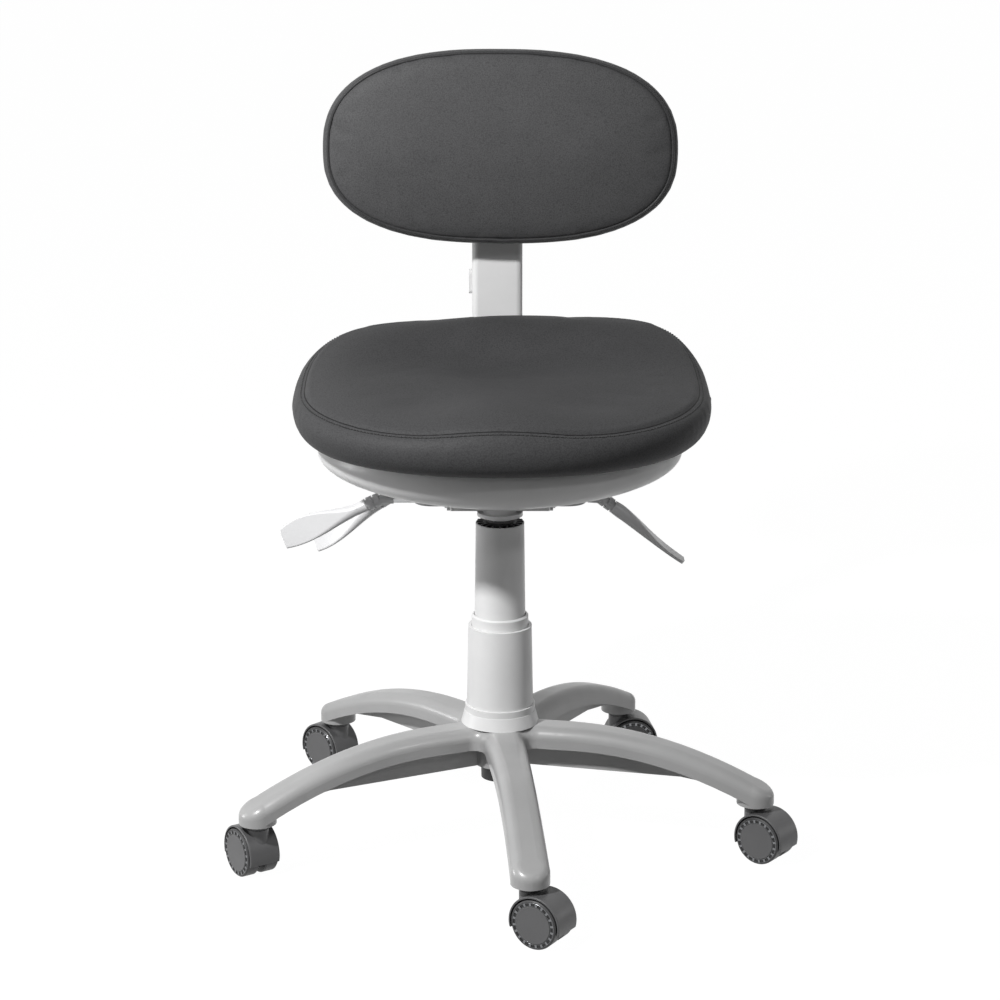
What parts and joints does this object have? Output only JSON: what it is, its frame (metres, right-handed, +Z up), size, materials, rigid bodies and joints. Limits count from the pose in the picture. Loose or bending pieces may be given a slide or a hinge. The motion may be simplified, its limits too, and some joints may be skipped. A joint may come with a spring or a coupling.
{
  "type": "dentist stool",
  "caption": "Height-adjustable medical stool: contoured padded seat, oval backrest on a sliding column, lever tilt mechanism, telescopic gas lift and castered star base.",
  "frame": {"origin": "on the floor, under the axis of the gas lift", "axes": "+Z up along the gas lift, -Y towards the front of the seat, +X to the right as seen from the front"},
  "size_m": [0.5918, 0.604, 0.8031],
  "materials": {
    "upholstery": "fine-grained dark grey leatherette",
    "pan_plastic": "satin white moulded ABS",
    "base_nylon": "semi-gloss grey moulded nylon",
    "caster_plastic": "satin dark grey nylon",
    "black_plastic": "moulded black plastic",
    "steel": "zinc-plated turned steel",
    "black_steel": "black powder-coated pressed steel",
    "plywood": "birch plywood"
  },
  "bodies": {
    "base": {"base_star": "base_nylon", "stand_tube": "steel", "guide_bush": "black_plastic", "thrust_bearing": "steel", "cover_lower": "pan_plastic", "caster_1_stem": "steel", "caster_2_stem": "steel", "caster_3_stem": "steel", "caster_4_stem": "steel", "caster_5_stem": "steel"},
    "spindle": {"piston_rod": "steel", "retaining_clip": "steel"},
    "cover_stage": {"cover_middle": "pan_plastic"},
    "lift": {"gas_cylinder": "steel", "rod_seal": "black_plastic", "cover_upper": "pan_plastic", "cover_collar": "black_plastic", "mechanism_housing": "black_steel", "pivot_pins": "steel", "lever_pins": "steel"},
    "valve": {"valve_pin": "steel"},
    "height_lever": {"height_lever_rod": "steel", "height_lever_paddle": "pan_plastic"},
    "seat_lever": {"seat_lever_rod": "steel", "seat_lever_paddle": "pan_plastic"},
    "back_lever": {"back_lever_rod": "steel", "back_lever_paddle": "pan_plastic"},
    "seat": {"seat_plate": "black_steel", "seat_screws": "steel", "seat_pan": "pan_plastic", "seat_board": "plywood", "seat_cushion": "upholstery"},
    "back_frame": {"back_arm": "black_steel"},
    "backrest": {"column_sleeve": "pan_plastic", "back_bracket": "black_steel", "back_screws": "steel", "back_board": "plywood", "back_shell": "pan_plastic", "back_cushion": "upholstery"},
    "button": {"column_button": "pan_plastic"},
    "caster_1": {"caster_1_hood": "caster_plastic", "caster_1_axle": "steel"},
    "caster_1_left": {"caster_1_wheel_left": "caster_plastic"},
    "caster_1_right": {"caster_1_wheel_right": "caster_plastic"},
    "caster_2": {"caster_2_hood": "caster_plastic", "caster_2_axle": "steel"},
    "caster_2_left": {"caster_2_wheel_left": "caster_plastic"},
    "caster_2_right": {"caster_2_wheel_right": "caster_plastic"},
    "caster_3": {"caster_3_hood": "caster_plastic", "caster_3_axle": "steel"},
    "caster_3_left": {"caster_3_wheel_left": "caster_plastic"},
    "caster_3_right": {"caster_3_wheel_right": "caster_plastic"},
    "caster_4": {"caster_4_hood": "caster_plastic", "caster_4_axle": "steel"},
    "caster_4_left": {"caster_4_wheel_left": "caster_plastic"},
    "caster_4_right": {"caster_4_wheel_right": "caster_plastic"},
    "caster_5": {"caster_5_hood": "caster_plastic", "caster_5_axle": "steel"},
    "caster_5_left": {"caster_5_wheel_left": "caster_plastic"},
    "caster_5_right": {"caster_5_wheel_right": "caster_plastic"}
  },
  "joints": [
    {"name": "seat_swivel", "type": "hinge", "parent": "base", "child": "spindle", "pos_m": [0, 0, 0.077], "axis": [0, 0, 1], "continuous": true},
    {"name": "seat_lift", "type": "slide", "parent": "spindle", "child": "lift", "axis": [0, 0, 1], "range_m": [-0.07, 0.06]},
    {"name": "cover_slide", "type": "slide", "parent": "base", "child": "cover_stage", "axis": [0, 0, 1], "range_m": [-0.035, 0.03]},
    {"name": "height_lever_lift", "type": "hinge", "parent": "lift", "child": "height_lever", "pos_m": [0.03, 0, 0.371], "axis": [0, -1, 0], "range_deg": [0, 5], "stiffness_Nm_per_rad": 6, "springref_deg": -2.86},
    {"name": "valve_press", "type": "slide", "parent": "lift", "child": "valve", "axis": [0, 0, -1], "range_m": [0, 0.0027]},
    {"name": "seat_lever_lift", "type": "hinge", "parent": "lift", "child": "seat_lever", "pos_m": [-0.03, -0.03, 0.378], "axis": [0, 1, 0], "range_deg": [0, 5]},
    {"name": "back_lever_lift", "type": "hinge", "parent": "lift", "child": "back_lever", "pos_m": [-0.03, 0.01, 0.371], "axis": [0, 1, 0], "range_deg": [0, 5]},
    {"name": "seat_tilt", "type": "hinge", "parent": "lift", "child": "seat", "pos_m": [0, -0.052, 0.381], "axis": [1, 0, 0], "range_deg": [-4, 8]},
    {"name": "back_tilt", "type": "hinge", "parent": "lift", "child": "back_frame", "pos_m": [0, 0.072, 0.37], "axis": [1, 0, 0], "range_deg": [-12, 6]},
    {"name": "back_height", "type": "slide", "parent": "back_frame", "child": "backrest", "axis": [0, 0, 1], "range_m": [-0.02, 0.05]},
    {"name": "button_press", "type": "slide", "parent": "backrest", "child": "button", "axis": [1, 0, 0], "range_m": [0, 0.0025], "stiffness_N_per_m": 800, "springref_m": -0.001},
    {"name": "caster_1_swivel", "type": "hinge", "parent": "base", "child": "caster_1", "pos_m": [0.02916, -0.26842, 0.053], "axis": [0, 0, 1], "continuous": true},
    {"name": "caster_1_left_spin", "type": "hinge", "parent": "caster_1", "child": "caster_1_left", "pos_m": [0.04103, -0.27584, 0.025], "axis": [0.5299, 0.848, 0], "continuous": true},
    {"name": "caster_1_right_spin", "type": "hinge", "parent": "caster_1", "child": "caster_1_right", "pos_m": [0.04103, -0.27584, 0.025], "axis": [0.5299, 0.848, 0], "continuous": true},
    {"name": "caster_2_swivel", "type": "hinge", "parent": "base", "child": "caster_2", "pos_m": [0.26429, -0.05521, 0.053], "axis": [0, 0, 1], "continuous": true},
    {"name": "caster_2_left_spin", "type": "hinge", "parent": "caster_2", "child": "caster_2_left", "pos_m": [0.27548, -0.06364, 0.025], "axis": [0.6018, 0.7986, 0], "continuous": true},
    {"name": "caster_2_right_spin", "type": "hinge", "parent": "caster_2", "child": "caster_2_right", "pos_m": [0.27548, -0.06364, 0.025], "axis": [0.6018, 0.7986, 0], "continuous": true},
    {"name": "caster_3_swivel", "type": "hinge", "parent": "base", "child": "caster_3", "pos_m": [0.13418, 0.2343, 0.053], "axis": [0, 0, 1], "continuous": true},
    {"name": "caster_3_left_spin", "type": "hinge", "parent": "caster_3", "child": "caster_3_left", "pos_m": [0.14805, 0.23625, 0.025], "axis": [-0.1392, 0.9903, 0], "continuous": true},
    {"name": "caster_3_right_spin", "type": "hinge", "parent": "caster_3", "child": "caster_3_right", "pos_m": [0.14805, 0.23625, 0.025], "axis": [-0.1392, 0.9903, 0], "continuous": true},
    {"name": "caster_4_swivel", "type": "hinge", "parent": "base", "child": "caster_4", "pos_m": [-0.18136, 0.20002, 0.053], "axis": [0, 0, 1], "continuous": true},
    {"name": "caster_4_left_spin", "type": "hinge", "parent": "caster_4", "child": "caster_4_left", "pos_m": [-0.1916, 0.20957, 0.025], "axis": [-0.682, -0.7314, 0], "continuous": true},
    {"name": "caster_4_right_spin", "type": "hinge", "parent": "caster_4", "child": "caster_4_right", "pos_m": [-0.1916, 0.20957, 0.025], "axis": [-0.682, -0.7314, 0], "continuous": true},
    {"name": "caster_5_swivel", "type": "hinge", "parent": "base", "child": "caster_5", "pos_m": [-0.24627, -0.11068, 0.053], "axis": [0, 0, 1], "continuous": true},
    {"name": "caster_5_left_spin", "type": "hinge", "parent": "caster_5", "child": "caster_5_left", "pos_m": [-0.2541, -0.09907, 0.025], "axis": [-0.829, -0.5592, 0], "continuous": true},
    {"name": "caster_5_right_spin", "type": "hinge", "parent": "caster_5", "child": "caster_5_right", "pos_m": [-0.2541, -0.09907, 0.025], "axis": [-0.829, -0.5592, 0], "continuous": true}
  ],
  "couplings": [
    {"joint": "cover_slide", "follows": "seat_lift", "ratio": 0.5},
    {"joint": "valve_press", "follows": "height_lever_lift", "m_per_rad": 0.03}
  ]
}
